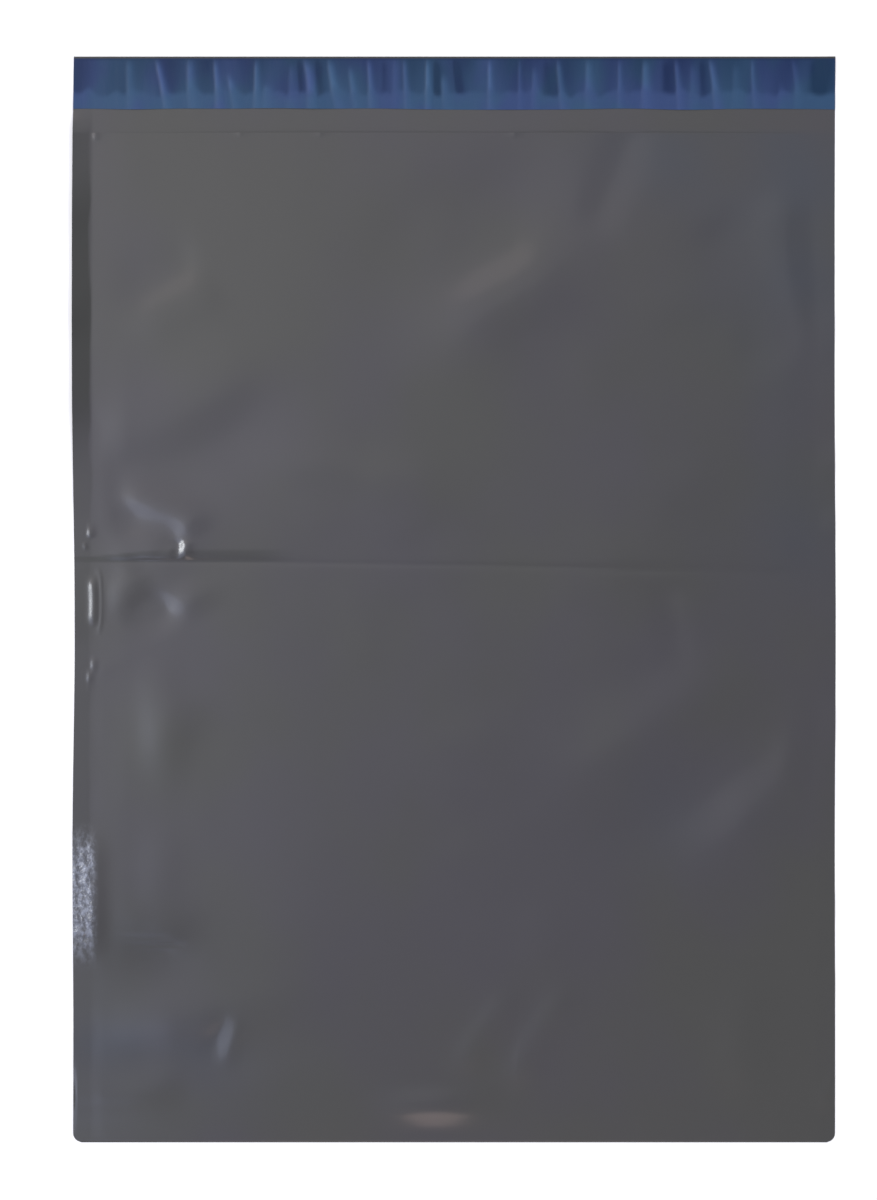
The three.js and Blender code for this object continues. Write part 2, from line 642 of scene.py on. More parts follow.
class Shader:
    """A material's nodes, with one method that adds any of them."""

    def __init__(self, name: str) -> None:
        """Makes a material with an output and a Principled shader.

        Args:
            name: What the material is called.
        """
        self.material = bpy.data.materials.new(name)
        self.material.use_nodes = True
        self.tree = self.material.node_tree
        self.surface = self.tree.nodes["Principled BSDF"]
        self.places = self.node("ShaderNodeTexCoord").outputs["Object"]

    def node(
        self,
        kind: str,
        settings: Optional[Dict[str, object]] = None,
        inputs: Optional[Dict[Union[int, str], Input]] = None,
    ) -> bpy.types.Node:
        """Adds a node.

        Args:
            kind: The node's type.
            settings: Its own settings, which are set first.
            inputs: What goes into its sockets: numbers, colours, values or other sockets.

        Returns:
            The new node.
        """
        node = self.tree.nodes.new(kind)
        for key, setting in (settings or {}).items():
            setattr(node, key, setting)
        for key, given in (inputs or {}).items():
            self.feed(node.inputs[key], given)
        return node

    def feed(self, socket: bpy.types.NodeSocket, given: Input) -> None:
        """Sets a socket to a number or colour, or links a value or a socket to it.

        Args:
            socket: The socket that is fed.
            given: What goes into it.
        """
        if isinstance(given, Value):
            self.tree.links.new(given.socket, socket)
        elif isinstance(given, bpy.types.NodeSocket):
            self.tree.links.new(given, socket)
        elif isinstance(given, tuple) and socket.type == "RGBA":
            socket.default_value = (*given, 1.0)
        else:
            socket.default_value = given

    def noise(
        self, across: float, along: float, detail: float = 2.0, roughness: float = 0.5
    ) -> Value:
        """Smooth noise over the piece.

        Args:
            across: How many waves it has to a metre across the bag, and upwards.
            along: How many it has to a metre along the bag.
            detail: How many finer layers lie on it.
            roughness: How strong they are.

        Returns:
            The noise, mostly between 0.3 and 0.7.
        """
        scale = (across, along, across)
        mapping = self.node("ShaderNodeMapping", None, {"Vector": self.places, "Scale": scale})
        node = self.node(
            "ShaderNodeTexNoise",
            None,
            {"Vector": mapping.outputs[0], "Scale": 1.0, "Detail": detail, "Roughness": roughness},
        )
        return Value(self, node.outputs[0])

    def attribute(self, name: str) -> Value:
        """A number that the mesh stores at its vertices."""
        node = self.node("ShaderNodeAttribute", {"attribute_name": name})
        return Value(self, node.outputs["Fac"])

    def mix(self, share: Number, first: Input, second: Input) -> bpy.types.NodeSocket:
        """Mixes two colours.

        Args:
            share: How much of the second colour there is.
            first: The colour where the share is 0.
            second: The colour where the share is 1.

        Returns:
            The mixed colour.
        """
        node = self.node("ShaderNodeMix", {"data_type": "RGBA"}, {0: share, 6: first, 7: second})
        return node.outputs[2]

    def relief(self, height: Value) -> None:
        """Gives the surface a fine relief, from a height in metres."""
        node = self.node("ShaderNodeBump", None, {"Strength": 1.0, "Distance": 1.0, "Height": height})
        self.tree.links.new(node.outputs[0], self.surface.inputs["Normal"])

    def set(self, **inputs: Input) -> None:
        """Feeds the Principled shader's sockets, named with underscores for spaces."""
        for key, given in inputs.items():
            self.feed(self.surface.inputs[key.replace("_", " ")], given)


# Finishes


@dataclass(frozen=True)
class FilmFinish:
    """Satin grey polythene film, with soft changes of hue and fine lines from the die.

    It is darker on the welds, and carries painted shade on the upper left weld, above the left end of
    the crease and beside the crinkled weld.
    Its blue tint, and its mauve one apart from random mottling, are painted reflections, and where it
    is crinkled it has painted glints. The depths are those of its fine relief.
    """

    plain_grey: Colour = (0.0485, 0.0483, 0.0465)
    mauve_mottle_and_reflection: Colour = (0.0480, 0.0455, 0.0540)
    painted_blue_reflection: Colour = (0.0400, 0.0450, 0.0590)
    weld_and_shade_grey: Colour = (0.0190, 0.0195, 0.0180)
    painted_glint_white: Colour = (0.2100, 0.2250, 0.2750)
    roughness: float = 0.42
    gloss: float = 0.65
    gloss_roughness: float = 0.16
    mottling: float = 0.8
    weld_and_shade_share: float = 0.8
    least_glint: float = 0.25
    crinkle_shine: float = 0.25
    ripple_depth: float = 0.05 * MM
    die_line_depth: float = 0.003 * MM
    grain_depth: float = 0.002 * MM
    crumple_depth: float = 0.7 * MM

    def make(self) -> bpy.types.Material:
        """Builds the material.

        Returns:
            The new material.
        """
        shader = Shader("grey_film")
        mottle = shader.noise(26.0, 20.0)
        # The cloud attribute holds random mottling and the painted mauve reflections
        cloud = shader.attribute("cloud") + (mottle - 0.5) * self.mottling
        # The weld attribute holds the darker grey of the welds and the cut edge, and painted shade
        weld = shader.attribute("weld")
        crinkle = shader.attribute("crinkle")
        flecks = shader.noise(430.0, 340.0, 3.0, 0.6).step(0.42, 0.66)
        film = shader.mix(cloud.step(0.0, 1.0), self.plain_grey, self.mauve_mottle_and_reflection)
        # Painted blue reflections
        film = shader.mix(shader.attribute("blue"), film, self.painted_blue_reflection)
        film = shader.mix(weld * self.weld_and_shade_share, film, self.weld_and_shade_grey)
        # Painted glints on the crinkled weld, in flecks
        painted_glints = crinkle * (flecks * (1 - self.least_glint) + self.least_glint)
        die_lines = shader.noise(9.0, 700.0, 3.0, 0.6)
        haze = shader.noise(160.0, 160.0, 3.0, 0.6)
        satin = (haze - 0.5) * 0.10 + (die_lines - 0.5) * 0.05
        shader.set(
            Base_Color=shader.mix(painted_glints, film, self.painted_glint_white),
            Roughness=satin + self.roughness - crinkle * self.crinkle_shine,
            Specular_IOR_Level=0.3,
            Coat_Weight=self.gloss,
            Coat_Roughness=self.gloss_roughness,
        )
        ripple = shader.noise(45.0, 60.0)
        grain = shader.noise(900.0, 1400.0)
        crumple = shader.noise(420.0, 340.0, 2.0, 0.6)
        shader.relief(
            (ripple - 0.5) * self.ripple_depth
            + (die_lines - 0.5) * self.die_line_depth
            + (grain - 0.5) * self.grain_depth
            + crinkle * (crumple - 0.5) * self.crumple_depth
        )
        return shader.material


@dataclass(frozen=True)
class LinerFinish:
    """Blue release film: dark where it is wetted to the glue, lighter where it stands off it."""

    wetted: Colour = (0.0040, 0.0170, 0.0700)
    wetted_teal: Colour = (0.0040, 0.0255, 0.0680)
    lifted: Colour = (0.0500, 0.0900, 0.2300)
    lifted_teal: Colour = (0.0450, 0.1050, 0.2100)
    roughness: float = 0.38
    ripple_depth: float = 0.10 * MM
    haze_depth: float = 0.01 * MM

    def make(self) -> bpy.types.Material:
        """Builds the material.

        Returns:
            The new material.
        """
        shader = Shader("blue_liner")
        lift = shader.attribute("lift")
        hue = shader.noise(38.0, 25.0).step(0.38, 0.62)
        haze = shader.noise(260.0, 260.0, 3.0, 0.6)
        wetted = shader.mix(hue, self.wetted, self.wetted_teal)
        lifted = shader.mix(hue, self.lifted, self.lifted_teal)
        shader.set(
            Base_Color=shader.mix(lift, wetted, lifted),
            Roughness=(haze - 0.5) * 0.10 + self.roughness,
            Specular_IOR_Level=0.22,
        )
        ripple = shader.noise(260.0, 70.0, 3.0)
        shader.relief((ripple - 0.5) * self.ripple_depth + (haze - 0.5) * self.haze_depth)
        return shader.material


@dataclass(frozen=True)
class GlueFinish:
    """Pale hot-melt glue, slightly cloudy and tacky."""

    clear: Colour = (0.62, 0.56, 0.42)
    cloudy: Colour = (0.74, 0.70, 0.60)
    roughness: float = 0.22
    relief_depth: float = 0.03 * MM

    def make(self) -> bpy.types.Material:
        """Builds the material.

        Returns:
            The new material.
        """
        shader = Shader("hot_melt_glue")
        cloud = shader.noise(90.0, 240.0, 3.0)
        shader.set(
            Base_Color=shader.mix(cloud.step(0.35, 0.65), self.clear, self.cloudy),
            Roughness=(cloud - 0.5) * 0.15 + self.roughness,
        )
        shader.relief((cloud - 0.5) * self.relief_depth)
        return shader.material


@dataclass(frozen=True)
class FloorFinish:
    """A matt, nearly white floor."""

    white: Colour = (0.97, 0.97, 0.97)

    def make(self) -> bpy.types.Material:
        """Builds the material.

        Returns:
            The new material.
        """
        shader = Shader("pale_floor")
        shader.set(Base_Color=self.white, Roughness=0.9, Specular_IOR_Level=0.0)
        return shader.material


# The film bag

# Folds of the front panel, in millimetres
PANEL_FOLDS: Tuple[Fold, ...] = (
    # The crease across the middle, where the bag was once folded in half
    Fold(((-196, 20), (-150, 20), (-108, 19.9), (-60, 19)), 6, 0.55, LEDGE, (0.35, 0.45)),
    Fold(((-197, 20.2), (-140, 20)), 2.5, 0.25, LEDGE, (0.1, 0.6)),
    Fold(((-200, 20.3), (-108, 19.7), (50, 17), (200, 13.6)), 1.4, -0.22, CREASE, (0.0, 0.0)),
    Fold(((40, 17.5), (120, 16), (200, 13.6)), 5, 0.2, LEDGE, (0.5, 0.0)),
    Fold(((-189, 14), (-160, 13.4)), 1.2, -0.16, CREASE),
    # The buckle on the crease, near the left weld, and the bend that runs up and left from it
    Fold(((-184, 53), (-164, 47), (-149, 41.5), (-142, 35), (-137.5, 29)),
         7.2, 0.78, STEP, (0.35, 0.2)),
    Fold(((-142.2, 32), (-142.8, 26.5), (-144.6, 20.5)), 2.5, 0.40, STEP, (0.25, 0.4)),
    # The soft lift below the crease, and the hollow beside it
    Fold(((-150.5, 9), (-146, -3), (-140, -15)), 9, 0.50, STEP, (0.5, 0.5)),
    Fold(((-178, -16), (-168, -1), (-156, 12)), 9, 0.6, STEP, (0.5, 0.3)),
    # Long soft bends over the upper half
    Fold(((-192, 71), (-140, 86), (-75, 135)), 16, 0.65, STEP, (0.1, 0.5)),
    Fold(((56, 190), (20, 168), (-20, 148)), 13, 0.74, STEP, (0.3, 0.45)),
    Fold(((78, 205), (14, 176), (-45, 130)), 26, 1.3, STEP, (0.3, 0.4)),
    Fold(((-126, 176), (-150, 162), (-180, 148)), 11, 0.54, STEP, (0.25, 0.4)),
    Fold(((96, 256), (84, 222), (70, 188)), 9, -0.8, ROLL),
    Fold(((150, 214), (168, 170), (192, 128)), 16, 0.9, STEP),
    # The diagonal bends of the lower right
    Fold(((186, -42), (150, -62), (95, -98), (50, -126)), 19, -1.4, STEP, (0.4, 0.45)),
    Fold(((225, -30), (166, -108), (106, -178)), 19, 1.3, ROLL, (0.1, 0.4)),
    Fold(((110, 12), (116, -20), (124, -44)), 7, -0.5, ROLL, (0.2, 0.6)),
    # The short bends near the bottom
    Fold(((2, -252), (14, -230), (34, -204)), 7, 0.7),
    Fold(((30, -260), (42, -234), (64, -200)), 8, 0.8),
    Fold(((-50, -262), (-12, -265.5), (30, -264)), 7.5, 1.35, ROLL, (0.5, 0.5)),
    # The long hollow along the bottom, deepest at the left
    Fold(((-200, -239), (-150, -231), (-50, -222)), 12, 0.72, STEP, (0.1, 0.7)),
    # The short slanted bend beside it
    Fold(((-114, -217), (-120, -230), (-127, -244)), 4.2, 0.50, STEP, (0.5, 0.4)),
    # The hollow beside the crinkled weld, with fine lines across it
    Fold(((-200, -184), (-165, -182), (-125, -180)), 11, 0.35, STEP, (0.05, 0.4)),
    Fold(((-178, -172), (-156, -171.5)), 0.9, -0.1, CREASE),
    Fold(((-180, -177.5), (-146, -177)), 0.9, -0.14, CREASE),
    Fold(((-179, -181.5), (-138, -181)), 0.9, -0.18, CREASE),
    Fold(((-177, -185.2), (-144, -185)), 0.9, -0.14, CREASE),
    Fold(((-174, -189.2), (-154, -189)), 0.9, -0.12, CREASE),
)

# Lumps and lines on the welds and along the front panel's cut edge, in millimetres
WELD_FOLDS: Tuple[Fold, ...] = (
    # The blister in the left weld, with the pressed line round its inner side
    Fold(((-190.3, 12), (-189.7, 0), (-190.1, -14)), 2.3, 0.6, ROLL, (0.15, 0.15)),
    Fold(((-190, 14.8), (-186.0, 11), (-185.8, -12), (-189, -16.5)), 0.8, 0.22, ROLL, (0.1, 0.1)),
    # The small lumps above and below it, and at the mouth
    Fold(((-193.2, 39), (-193.2, 32)), 2.0, 0.33, STEP),
    Fold(((-194.6, 30), (-193.6, 26)), 0.9, 0.2),
    Fold(((-191.6, -31), (-191.6, -38)), 1.8, 0.30, STEP),
    Fold(((-193.7, -37.6), (-193.7, -44)), 1.8, 0.30, STEP),
    Fold(((-190, 245.5), (-190, 240.5)), 1.9, 0.31, STEP, (0.1, 0.4)),
    # The ridges near the lower left corner and along the crinkled weld
    Fold(((-204, -261), (-175, -260), (-138, -257)), 9, 0.7, ROLL, (0.05, 0.5)),
    Fold(((-189.3, -116), (-188.6, -150), (-189.2, -196)), 5.5, 0.7, ROLL, (0.3, 0.4)),
    # Where the cut edge stands up
    Fold(((-113.5, 244.6), (-110.5, 244.4)), 1.2, 0.22),
    Fold(((-71.5, 244.6), (-68.5, 244.4)), 1.2, 0.22),
    Fold(((30.5, 244.6), (33.5, 244.4)), 1.2, 0.22),
    # The turned-up lower right corner
    Fold(((204, -241), (185, -262)), 6, 0.5, STEP),
)


@dataclass(frozen=True)
class Patch:
    """A broad soft patch of painted light on the film, a reflection tint in most uses and a shadow in
    one. Its sizes are in millimetres.
    """

    x: float
    y: float
    across: float
    along: float
    strength: float

    def share(self, x: Array, y: Array) -> Array:
        """How strongly the patch shows at each place, fading from its middle."""
        across, along = (x / MM - self.x) / self.across, (y / MM - self.y) / self.along
        return self.strength * np.exp(-(across**2) - along**2)


def patched(patches: Tuple[Patch, ...], x: Array, y: Array) -> Array:
    """How strongly several patches show together at each place."""
    return sum(patch.share(x, y) for patch in patches)


# Painted reflections: where the film leans to mauve, or away from it where the strength is negative
MAUVE_REFLECTION_PATCHES: Tuple[Patch, ...] = tuple(Patch(*row) for row in (
    (-105, 187, 75, 65, -0.55),
    (-148, 64, 65, 45, 0.45),
    (23, 224, 70, 40, 0.3),
    (50, -140, 120, 75, 0.5),
    (180, -74, 50, 55, 0.25),
    (162, -205, 60, 75, -0.8),
    (-130, -270, 90, 16, -0.5),
))

# Painted reflections: where the film leans to blue
BLUE_REFLECTION_PATCHES: Tuple[Patch, ...] = tuple(Patch(*row) for row in (
    (188, 188, 50, 75, 0.75),
    (111, 235, 50, 25, 0.45),
    (182, 36, 45, 40, 0.35),
    (114, -113, 45, 30, 0.25),
    (-158, -240, 70, 34, 0.3),
    (-176, -232, 40, 10, 0.45),
))

# Painted shadow beside the crinkled weld, where the film is drawn darker
PAINTED_SHADOW_PATCH = Patch(-166, -178, 36, 22, 0.62)

# Where along the bag each of these begins, and where it is complete. The painted shade on the
# turned-up upper stretch of the left weld fades from DARK_WELD_TO to the mouth.
TURNED_UP_FROM: Point = (40 * MM, 120 * MM)
DARK_WELD_FROM: Point = (70 * MM, 120 * MM)
DARK_WELD_TO: float = 195 * MM
CRINKLED_FROM: Point = (-196 * MM, -166 * MM)
CRINKLED_TO: Point = (-116 * MM, -138 * MM)
CREASE_BAND_FROM: Point = (19.2 * MM, 20.2 * MM)


@dataclass
class FilmBag:
    """The folded and welded sheet of film: back panel, bottom fold, front panel, welds and lip.

    The front panel rises off its closed sides over rise_run, to mouth_gap at the mouth and to
    pocket_rise further in. Its softness rounds off dips that would reach the back panel, and a
    thin air_gap is added all over, short of the closed sides.
    """

    sizes: BagSizes
    loose: LooseFilm
    finish: FilmFinish = FilmFinish()
    puckers: Tuple[Pucker, ...] = (Pucker(-1, 21), Pucker(1, 22))
    mouth_gap: float = 1.1 * MM
    pocket_rise: float = 1.9 * MM
    rise_run: float = 120 * MM
    air_gap: float = 0.05 * MM
    softness: float = 0.25 * MM
    lip_wrinkle_share: float = 0.25
    edge_ripple: float = 0.18 * MM
    turned_up: float = 1.2 * MM
    crinkle_rise: float = 0.20 * MM
    deepest_dent: float = 0.1 * MM
    edge_drift: float = 0.5 * MM

    def columns(self) -> Array:
        """Stations across the bag: close at the welds and on the left, wider in the middle.

        Returns:
            The stations, from left to right.
        """
        edge, side = self.sizes.half_width, self.sizes.pocket_side
        return stations(
            -edge,
            (-184 * MM, 0.8 * MM),
            (-165 * MM, 2.0 * MM),
            (-152 * MM, 2.4 * MM),
            (-136 * MM, 1.0 * MM),
            (-114 * MM, 2.9 * MM),
            (-110 * MM, 1.0 * MM),
            (-72 * MM, 4.8 * MM),
            (-68 * MM, 1.0 * MM),
            (30 * MM, 5.0 * MM),
            (34 * MM, 1.0 * MM),
            (side - 18 * MM, 5.0 * MM),
            (side, 2.6 * MM),
            (edge, 1.5 * MM),
        )

    def rows(self) -> Array:
        """Stations along the bag: close at the bottom fold, on the crease and at both ends.

        Returns:
            The stations, from the bottom fold to the edge of the lip.
        """
        sizes = self.sizes
        start = sizes.pocket_end
        return stations(
            start,
            (start + sizes.corner_radius, 0.9 * MM),
            (-192 * MM, 4.3 * MM),
            (-174 * MM, 1.2 * MM),
            (-120 * MM, 2.5 * MM),
            (-44 * MM, 4.8 * MM),
            (16 * MM, 2.2 * MM),
            (36 * MM, 1.0 * MM),
            (56 * MM, 2.2 * MM),
            (sizes.mouth - 6 * MM, 4.8 * MM),
            (sizes.mouth, 1.2 * MM),
            (sizes.lip_edge - 1.5 * MM, 2.6 * MM),
            (sizes.lip_edge, 0.75 * MM),
        )

    def edge_lift(self, x: Array, y: Array) -> Array:
        """How far the welded and free edges stand off the table.

        The upper left weld is turned up more than the rest.

        Args:
            x: Places across the bag.
            y: Places along the bag, of the same shape.

        Returns:
            The lift at each place.
        """
        sizes = self.sizes
        outwards = np.maximum(np.abs(x) - (sizes.pocket_side - 1 * MM), 0.0)
        near_side = outwards / (sizes.half_width - sizes.pocket_side)
        ripple = np.maximum(smooth_noise(np.sign(x) * 0.5, y, seed=5, pitch=46 * MM) + 0.4, 0.0)
        upper_left = ease(y, *TURNED_UP_FROM) * ease(y, sizes.liner_foot, sizes.mouth) * (x < 0)
        return near_side * (self.edge_ripple * ripple + self.turned_up * upper_left)

    def back_outside(self, x: Array, y: Array) -> Array:
        """Where the outer face of the back panel and the lip lies.

        Args:
            x: Places across the bag.
            y: Places along the bag, of the same shape.

        Returns:
            Its height at each place.
        """
        lip = ease(y, self.sizes.mouth + 6 * MM, self.sizes.liner_foot)
        wrinkles = lip * self.lip_wrinkle_share * liner_lift(x, y, self.sizes)
        return self.edge_lift(x, y) + wrinkles

    def risen(self, distance: Array, share: float, run: float) -> Array:
        """How much of its rise the front panel has reached at a distance from a closed side.

        Args:
            distance: How far from the side each place lies.
            share: How much of the rise is steep. The rest takes the whole of rise_run.
            run: The distance that the steep part takes.

        Returns:
            The share that it has reached, from 0 to 1.
        """
        gentle = (1 - share) * ease(distance, 0.0, self.rise_run)
        return share * ease(distance, 0.0, run) + gentle

    def pocket_gap(self, x: Array, y: Array, settled: Array) -> Array:
        """How far the front panel stands off the back panel.

        Args:
            x: Places across the bag.
            y: Places along the bag, of the same shape.
            settled: The heights of the loose film at these places.

        Returns:
            The gap between the panels, 0 on the welds and at the bottom fold.
        """
        sizes = self.sizes
        inwards = sizes.pocket_side - np.abs(x)
        upwards = y - sizes.pocket_end
        sides = self.risen(inwards, 0.10, 20 * MM)
        ends = self.risen(upwards, 0.12, 16 * MM)
        mouth = ease(sizes.mouth - y, 0.0, 90 * MM)
        rise = sides * ends * (self.mouth_gap + (self.pocket_rise - self.mouth_gap) * mouth)
        folds = sum(fold.height(x, y) for fold in PANEL_FOLDS)
        puckers = sum(pucker.height(x, y, sizes) for pucker in self.puckers)
        # The folds die out over a longer run beside the lower ends of the welds
        side_run = (20 + 25 * ease(y, -150 * MM, -200 * MM)) * MM
        free = ease(inwards / side_run, 0.0, 1.0) * ease(upwards, 0.0, 14 * MM)
        gap = rise + free * (folds + settled) + puckers * ease(upwards, 0.0, 12 * MM)
        air = self.air_gap * ease(inwards, 0.0, 8 * MM) * ease(upwards, 0.0, 4 * MM)
        lifted = 0.5 * (gap + np.sqrt(gap**2 + self.softness**2)) - 0.5 * self.softness
        return np.where((inwards <= HAIR) | (upwards <= HAIR), 0.0, lifted + air)

    def weld_lumps(self, x: Array, y: Array) -> Array:
        """How far the blister, the fine lumps and the crinkles of the welds stand up.

        Beside the welds their far sides may dent the front panel a little.

        Args:
            x: Places across the bag.
            y: Places along the bag, of the same shape.

        Returns:
            The lift at each place.
        """
        folds = sum(fold.height(x, y) for fold in WELD_FOLDS)
        crumple = np.maximum(smooth_noise(x, y, seed=31, pitch=5 * MM) + 0.5, 0.0)
        lumps = folds + self.crinkle_rise * crinkled(x, y, self.sizes) * crumple
        inside = ease(self.sizes.half_width - np.abs(x), 0.0, 1.5 * MM)
        lowest = -self.deepest_dent * (np.abs(x) < self.sizes.pocket_side)
        return np.maximum(lumps, lowest) * inside

    def outline(self, x: Array, y: Array) -> Array:
        """Where a place across the bag lies once the edges are uneven and the corners round.

        Args:
            x: Places across an even bag with square corners.
            y: Places along the bag, of the same shape.

        Returns:
            The places across the real bag.
        """
        radius = self.sizes.corner_radius
        short = np.clip(radius - (y - self.sizes.bottom), 0.0, radius)
        cut = radius - np.sqrt(radius**2 - short**2)
        drift = self.edge_drift * smooth_noise(np.zeros_like(y), y, seed=8, pitch=240 * MM)
        at_edge = ease(np.abs(x), self.sizes.half_width - 30 * MM, self.sizes.half_width)
        return x - np.sign(x) * at_edge * cut + at_edge * drift * np.where(x < 0, 1.0, 0.4)

    def build(self) -> bpy.types.Object:
        """Models the bag as one closed sheet.

        Returns:
            The finished piece.
        """
        sizes = self.sizes
        xs, ys = self.columns(), self.rows()
        x, y = np.meshgrid(xs, ys, indexing="ij")
        mouth = int(np.argmin(np.abs(ys - sizes.mouth)))
        left = int(np.argmin(np.abs(xs + sizes.pocket_side)))
        right = int(np.argmin(np.abs(xs - sizes.pocket_side)))
        settled = self.loose.at(xs, ys) if self.loose.heights is not None else np.zeros_like(x)
        back = self.back_outside(x, y)
        gap = np.maximum(self.pocket_gap(x, y, settled) + self.weld_lumps(x, y), 0.0)
        front = back + 2 * sizes.gauge + gap
        across = self.outline(x, y)

        # The two faces of each panel, and the nose of the bottom fold
        skins = SkinMesh()
        under = skins.skin(across, y, back)
        inside = skins.skin(across, y, back + sizes.gauge)
        over = skins.skin(across, y, front)
        ceiling = skins.skin(across, y, front - sizes.gauge)
        ceiling[: left + 1] = inside[: left + 1]
        ceiling[right:] = inside[right:]
        ceiling[:, 0] = inside[:, 0]
        nose_y = np.full_like(y[:, :1], sizes.bottom)
        nose_across = self.outline(x[:, :1], nose_y)
        nose = skins.skin(nose_across, nose_y, back[:, :1] + sizes.gauge)[:, 0]

        # The broad faces: outside, on the lip, and inside the pocket
        skins.cells(under, upwards=False)
        skins.cells(over[:, : mouth + 1], upwards=True)
        skins.cells(inside[:, mouth:], upwards=True)
        skins.cells(inside[left : right + 1, : mouth + 1], upwards=True)
        skins.cells(ceiling[left : right + 1, : mouth + 1], upwards=False)
        # The edges: the bottom fold, the edge of the lip, the mouth, the sides
        skins.wall(under[:, 0], nose)
        skins.wall(nose, over[:, 0])
        skins.wall(under[::-1, -1], inside[::-1, -1])
        skins.wall(inside[left::-1, mouth], over[left::-1, mouth])
        skins.wall(inside[: right - 1 : -1, mouth], over[: right - 1 : -1, mouth])
        skins.wall(ceiling[right : left - 1 : -1, mouth], over[right : left - 1 : -1, mouth])
        last = mouth - 1
        skins.wall(under[0, last::-1], over[0, last::-1])
        skins.wall(over[-1, last::-1], under[-1, last::-1])
        skins.wall(under[0, :last:-1], inside[0, :last:-1])
        skins.wall(under[-1, mouth:], inside[-1, mouth:])
        # The odd faces, at the ends of the mouth and of the bottom fold
        skins.faces += [
            (under[0, mouth], under[0, last], over[0, last], over[0, mouth], inside[0, mouth]),
            (under[-1, last], under[-1, mouth], inside[-1, mouth], over[-1, mouth], over[-1, last]),
            (under[0, 0], nose[0], over[0, 0]),
            (nose[-1], under[-1, 0], over[-1, 0]),
        ]
        piece = skins.finish("film_bag")
        self.mark(piece)
        smooth_below(piece, 60.0)
        piece.data.materials.append(self.finish.make())
        return piece

    def weld_tone_and_painted_shade(self, x: Array, y: Array) -> Array:
        """How much darker the welds are drawn: the left one more, and most of all at its upper end,
        where painted shade is added for the turned-up edge.

        Args:
            x: Places across the bag.
            y: Places along the bag, of the same shape.

        Returns:
            The share of the weld's grey, which also paints the shade, from 0 to 1.
        """
        sizes = self.sizes
        inwards = sizes.half_width - np.abs(x)
        uneven = 0.5 * MM * smooth_noise(np.sign(x), y, seed=17, pitch=30 * MM)
        weld_edge = sizes.weld_width + uneven
        weld = ease(inwards, weld_edge + 0.7 * MM, weld_edge - 0.7 * MM)
        # Painted shade on the turned-up upper stretch of the left weld
        dark = ease(y, *DARK_WELD_FROM) * ease(y, sizes.mouth, DARK_WELD_TO) * (x < 0)
        faint = np.where(x < 0, 0.15 + 0.2 * ease(y, -190 * MM, -120 * MM), 0.05)
        return weld * (faint + 0.65 * dark)

    def crease_painted_shade(self, x: Array, y: Array) -> Array:
        """How dark the painted shade is in the thin band above the left end of the crease.

        Args:
            x: Places across the bag.
            y: Places along the bag, of the same shape.

        Returns:
            The share of the weld's grey that paints this shade, from 0 to 1.
        """
        top = (22 + 3.5 * ease(x, -196 * MM, -150 * MM)) * MM
        above = ease(y, *CREASE_BAND_FROM) * ease(y, top + 1 * MM, top)
        near_weld = 0.5 + 0.35 * ease(x, -150 * MM, -178 * MM)
        return above * ease(x, -80 * MM, -108 * MM) * near_weld

    def mark(self, piece: bpy.types.Object) -> None:
        """Stores where the film is darker, from its welds and from painted shade, where it is
        crinkled, and its mauve and blue tints, which are painted reflections, the mauve over random
        mottling.

        Args:
            piece: The bag.
        """
        places = read_points(piece)
        x, y = places[:, 0], places[:, 1]
        sizes = self.sizes
        below_mouth = ease(sizes.mouth - y, -1 * MM, 1 * MM)
        cut_edge = ease(sizes.lip_edge - y, 1.4 * MM, 0.7 * MM)
        # Painted shade above the left end of the crease, and painted shadow beside the crinkled weld
        pressed = np.maximum(self.crease_painted_shade(x, y), PAINTED_SHADOW_PATCH.share(x, y))
        dark = np.maximum(self.weld_tone_and_painted_shade(x, y) * below_mouth, cut_edge)
        # The weld attribute carries the darker grey of the welds and the cut edge, and all the
        # painted shade
        set_attribute(piece, "weld", np.maximum(dark, pressed))
        set_attribute(piece, "crinkle", crinkled(x, y, sizes))
        # Random mottling, with the painted mauve reflections added
        cloud = 0.5 + 0.12 * smooth_noise(x, y, seed=6446, pitch=90 * MM)
        set_attribute(piece, "cloud", cloud + patched(MAUVE_REFLECTION_PATCHES, x, y))
        # The painted blue reflections, made uneven
        uneven = 0.9 + 0.2 * smooth_noise(x, y, seed=52, pitch=60 * MM)
        blue = patched(BLUE_REFLECTION_PATCHES, x, y) * uneven
        set_attribute(piece, "blue", np.clip(blue, 0.0, 1.0) * below_mouth)


def crinkled(x: Array, y: Array, sizes: BagSizes) -> Array:
    """How strongly the lower left weld is crinkled.

    Args:
        x: Places across the bag.
        y: Places along the bag, of the same shape.
        sizes: Where the welds are.

    Returns:
        The strength at each place, from 0 to 1.
    """
    inwards = sizes.half_width - np.abs(x)
    along = ease(y, *CRINKLED_FROM) * ease(y, *CRINKLED_TO)
    band = ease(inwards, sizes.weld_width + 5 * MM, sizes.weld_width - 1 * MM)
    return np.where(x < 0, along * band, 0.0)


def stations(start: float, *stretches: Point) -> Array:
    """Stations along a line, evenly spaced within each stretch.

    Args:
        start: Where the line begins.
        stretches: Where each stretch ends, and about how far apart its stations are.

    Returns:
        All the stations, in order.
    """
    places = [np.array([start])]
    for end, pitch in stretches:
        places.append(np.linspace(start, end, max(1, round((end - start) / pitch)) + 1)[1:])
        start = end
    return np.concatenate(places)


# The glue and its liner


